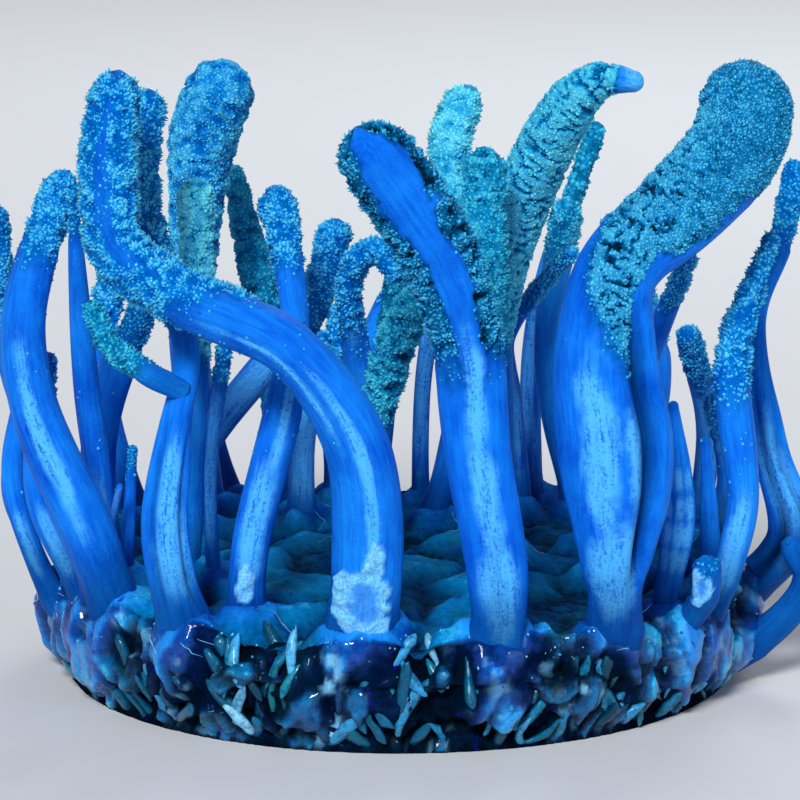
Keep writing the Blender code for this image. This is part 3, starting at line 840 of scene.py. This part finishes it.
    # The papillae: staggered rows round the head, thinned out towards its lower edge.
    rows = np.arange(0.5 * spike_gap, length, 0.87 * spike_gap)
    places = []
    for k, row in enumerate(rows):
        index = np.interp(row, distance, np.arange(rings))
        girth = math.pi * (np.interp(row, distance, half_width) + np.interp(row, distance, half_depth))
        in_row = int(girth / spike_gap)
        turn = (np.arange(in_row) + 0.5 * (k % 2)) / max(in_row, 1)
        places.append(np.stack([np.full(in_row, index), turn * sides], axis=1))
    places = np.concatenate(places)
    places += chance.uniform(-0.4, 0.4, places.shape) * spike_gap / (SKIN_STEP * finer)
    places[:, 0] = np.clip(places[:, 0], 0, rings - 1.01)
    i, j = np.floor(places).astype(int).T
    u, v = (places - np.floor(places)).T
    i2, j, j2 = i + 1, j % sides, (j + 1) % sides

    def read(grid):
        u_, v_ = (u, v) if grid.ndim == 2 else (u[:, None], v[:, None])
        low = grid[i, j] * (1 - v_) + grid[i, j2] * v_
        return low * (1 - u_) + (grid[i2, j] * (1 - v_) + grid[i2, j2] * v_) * u_

    ripe_here, clump_here = read(ripe), read(clumps)
    crowded = np.clip(1.25 * step(read(high), 0.1, 0.36) + 1.0 - 4.0 * read(depth_here), 0.0, 1.0)
    crowded = crowded * np.clip(1.0 - 1.5 * lumps * (1.0 - clump_here), 0.0, 1.0)
    lone = sparse * (read(along) > 0.3 * length)
    keep = chance.random(len(places)) < np.maximum(ripe_here**1.3 * crowded, lone)
    root, way, ripe_here = read(skin)[keep], unit(read(out))[keep], np.maximum(ripe_here, 0.5)[keep]
    base_marks, base_grown = read(marks)[keep], read(grown)[keep]
    base_marks[:, 1] = read(high)[keep]
    n = len(root)
    if n:
        onward = read(np.broadcast_to(ahead[:, None], skin.shape))[keep]
        way = unit(way + chance.normal(0.0, SPIKE_SCATTER, (n, 3)) + 0.15 * onward)
        tall = spike_length * ripe_here * chance.uniform(0.5, 1.1, n) * (0.5 + 0.7 * clump_here[keep])
        stout = SPIKE_STOUTNESS * spike_gap * chance.uniform(0.6, 1.2, n)
        first_side = unit(np.cross(way, (0.31, 0.55, 0.77)))
        second_side = np.cross(way, first_side)
        spoke = np.arange(SPIKE_SIDES) * math.tau / SPIKE_SIDES
        circle = np.cos(spoke)[None, :, None] * first_side[:, None]
        circle = circle + np.sin(spoke)[None, :, None] * second_side[:, None]
        low_ring = root[:, None] - 0.1 * way[:, None] + circle * stout[:, None, None]
        apex = root + way * tall[:, None]
        per = SPIKE_SIDES + 1
        starts = rings * sides + 1 + np.arange(n)[:, None] * per
        for k in range(SPIKE_SIDES):
            faces += (starts + np.array([[k, (k + 1) % SPIKE_SIDES, SPIKE_SIDES]])).tolist()
        # The papillae's bases keep the head's colour height, and so the valleys' painted shade; their tips are
        # paler.
        spike_marks = np.repeat(base_marks[:, None], per, axis=1)
        spike_marks[..., 0] = np.maximum(spike_marks[..., 0], 0.85)
        spike_marks[:, :-1, 1] = base_marks[:, None, 1] + 0.08
        spike_marks[:, -1, 1] = np.clip(base_marks[:, 1] + chance.uniform(0.3, 0.68, n), 0.0, 1.0)
        spike_marks[..., 2] = 0.0
        points.append(np.concatenate([low_ring, apex[:, None]], axis=1).reshape(-1, 3))
        all_marks.append(spike_marks.reshape(-1, 4))
        all_grown.append(np.repeat(base_grown[:, None], per, axis=1).reshape(-1, 3))
    return new_piece(name + "_flesh", np.concatenate(points), faces, np.concatenate(all_marks),
                     np.concatenate(all_grown), material, [name])


# ---- The large clubs along the front -----------------------------------------------------------------
# The biggest fruiting bodies, thick and bent, with pale patches on their stems that are partly bruised flesh
# and partly painted highlight. Each is one grown piece, rooted in the cake.
TEAL = {"material": TEAL_FLESH, "slot": "teal_club"}
grow("sweeping_club", fertile=36.0, slant=(4.0, 60.0), fade=6.0, spikes=(0.36, 0.40), lumps=0.36,
     finer=0.8, thin=[(112, 16, 44, 62)], pale=[(100, 13, 5, 30), (68, 9, 20, 38)],
     crust=[(92, 50, 0.5, 7.6), (100, 22, 5, 9.4), (122, 15, 0.1, 3)], sparse=0.02)
grow("spoon_club", fertile=27.0, fade=6.0, spikes=(0.36, 0.40), folds=0.16, ground=0.21,
     pale=[(98, 44, 0.5, 11), (95, 28, 6, 22), (100, 20, 16, 31)],
     bare=[(100, 44, 40, 54), (100, 24, 22, 46)], furrows=[(88, 0.35, 4, 12)], material=RIDGED_FLESH)
grow("giant_club", fertile=33.0, slant=(-9.0, 150.0), fade=4.0, spikes=(0.33, 0.26), lumps=0.10, folds=0.26,
     even_folds=0.3, fold_size=0.55, finer=0.62, flutes=0.22, bare=[(194, 40, 18, 53), (150, 28, 16, 40)],
     pale=[(92, 52, 1, 13), (74, 24, 9, 29), (112, 14, 13, 23)], furrows=[(132, 1.8, 7, 30)], sparse=0.01,
     material=RIDGED_FLESH)
grow("forked_club", fertile=29.0, fade=5.0, spikes=(0.42, 0.45), pale=[(112, 62, 1, 16), (100, 34, 8, 19)],
     flutes=0.25, furrows=[(52, 0.7, 3, 18), (146, 0.7, 2, 16)])
grow("forked_club_branch", fertile=2.0, spikes=(0.40, 0.42), **TEAL)
grow("round_headed_club", fertile=-9.0, spikes=(0.38, 0.36), pale=[(90, 50, 1, 15), (100, 20, 10, 26)],
     crust=[(84, 30, 0.5, 4)], sparse=0.03)
grow("left_outer_club", fertile=-9.0, spikes=(0.38, 0.36), pale=[(90, 24, 6, 28)], sparse=0.01)
grow("right_tall_club", fertile=-16.0, fade=8.0, spikes=(0.42, 0.42), pale=[(80, 50, 1, 12)], sparse=0.05)
grow("twin_club", fertile=-19.0, spikes=(0.38, 0.34), folds=0.15, **TEAL)
grow("twin_club_branch", fertile=0.5, spikes=(0.36, 0.34), folds=0.10, ground=0.5,
     material=CREAM_FLESH, slot="teal_club")
grow("ridged_club", fertile=20.0, fade=5.0, spikes=(0.30, 0.16), lumps=0.08, folds=0.24, fold_size=0.58,
     finer=0.62, bare=[(0, 400, -2.3, 0)], pale=[(0, 400, -2.0, 0)], ground=0.4, material=CREAM_FLESH)

# ---- The clubs on the left ---------------------------------------------------------------------------
# Slimmer clubs that crowd the rim. Only the older ones have ripened at the tip.
for name, ripe in (("left_slim_club", -6), ("left_leaf_club", -9), ("far_left_club", -14),
                   ("left_rim_club", -5), ("left_foot_club", -5), ("left_edge_club", -2)):
    grow(name, fertile=ripe, spikes=(0.38, 0.34), pale=[(90, 40, 2, 10)], sparse=0.01)
grow("small_left_club", fertile=-3.0, spikes=(0.32, 0.16), lumps=0.15)
grow("cream_pin", fertile=-0.2, spikes=(0.6, 0.1), crust=[(90, 400, -30, 30)], slot="pale_club")

# ---- The clubs in the middle -------------------------------------------------------------------------
# They stand between and behind the large ones, so they are paler and ripe further down.
grow("tall_back_club", fertile=-24.0, spikes=(0.36, 0.18), lumps=0.25, folds=0.12, ground=0.42,
     slot="teal_club")
grow("mottled_club", fertile=-18.0, spikes=(0.38, 0.34), folds=0.2, fold_size=0.6, ground=0.5,
     material=CREAM_FLESH, slot="teal_club")
grow("leaning_club", fertile=-13.0, pale=[(90, 80, 4, 40)], spikes=(0.38, 0.36), flutes=0.2)
grow("small_bud_club", fertile=-4.0, pale=[(90, 80, 0, 20)], spikes=(0.45, 0.4))
grow("far_back_club", fertile=-26.0, spikes=(0.42, 0.20), lumps=0.3, folds=0.10, **TEAL)
grow("curled_club", fertile=-16.0, spikes=(0.38, 0.36), pale=[(90, 60, 20, 99)])
grow("fuzzy_club", fertile=-18.0, spikes=(0.38, 0.36), folds=0.2, **TEAL)
grow("thin_club", fertile=-8.0, pale=[(90, 80, 0, 30)], spikes=(0.5, 0.4))
grow("sliver_club", fertile=-20.0, spikes=(0.42, 0.20), lumps=0.3, folds=0.10, **TEAL)
grow("left_inner_club", fertile=-7.0, pale=[(90, 80, 0, 20)], spikes=(0.55, 0.5))

# ---- The clubs on the right --------------------------------------------------------------------------
# Slender, leafy and folded ones, some hooked over the rim.
grow("stubby_club", fertile=-7.0, spikes=(0.38, 0.40), material=CREAM_FLESH, slot="teal_club")
grow("back_tip_club", fertile=-14.0, spikes=(0.6, 0.35), **TEAL)
grow("slender_club", fertile=-12.0, pale=[(90, 60, 3, 18)], spikes=(0.38, 0.36))
grow("side_leaf_club", fertile=-0.5, spikes=(0.6, 0.1),
     pale=[(facing, 20, start, start + 2.6) for start in (3, 5.6, 8.2, 10.8) for facing in (50, 92, 134)])
grow("folded_club", fertile=-8.0, spikes=(0.42, 0.36), flutes=0.8, pale=[(90, 60, 4, 20)],
     furrows=[(62, 1.0, 2, 20), (125, 0.8, 5, 17)])
grow("rim_curl", fertile=-0.5, spikes=(0.6, 0.1), flutes=0.3)
grow("round_bud", fertile=-0.5, spikes=(0.6, 0.1), crust=[(80, 50, -4.5, -1)], slot="pale_club")
grow("leaf_bud", fertile=-0.5, spikes=(0.6, 0.1))
for name, ripe in (("slender_twin_club", -3), ("slender_third_club", -4), ("arched_back_club", -8),
                   ("hidden_right_club", -8), ("right_inner_club", -6), ("right_middle_club", -6),
                   ("right_short_club", -6)):
    grow(name, fertile=ripe, spikes=(0.38, 0.34), pale=[(90, 70, 0, 24)])

# ---- The clubs on the far side -----------------------------------------------------------------------
# The same growth carried round the back, lower towards the rim.
for name, ripe in (("back_left_club", -14), ("back_bent_club", -13), ("back_right_club", -15),
                   ("back_rim_club", -7), ("back_low_club", -7), ("back_inner_club", -8),
                   ("back_middle_club", -8), ("back_short_club", -7)):
    grow(name, fertile=ripe, spikes=(0.46, 0.5), folds=0.1, pale=[(270, 40, 1, 9)])
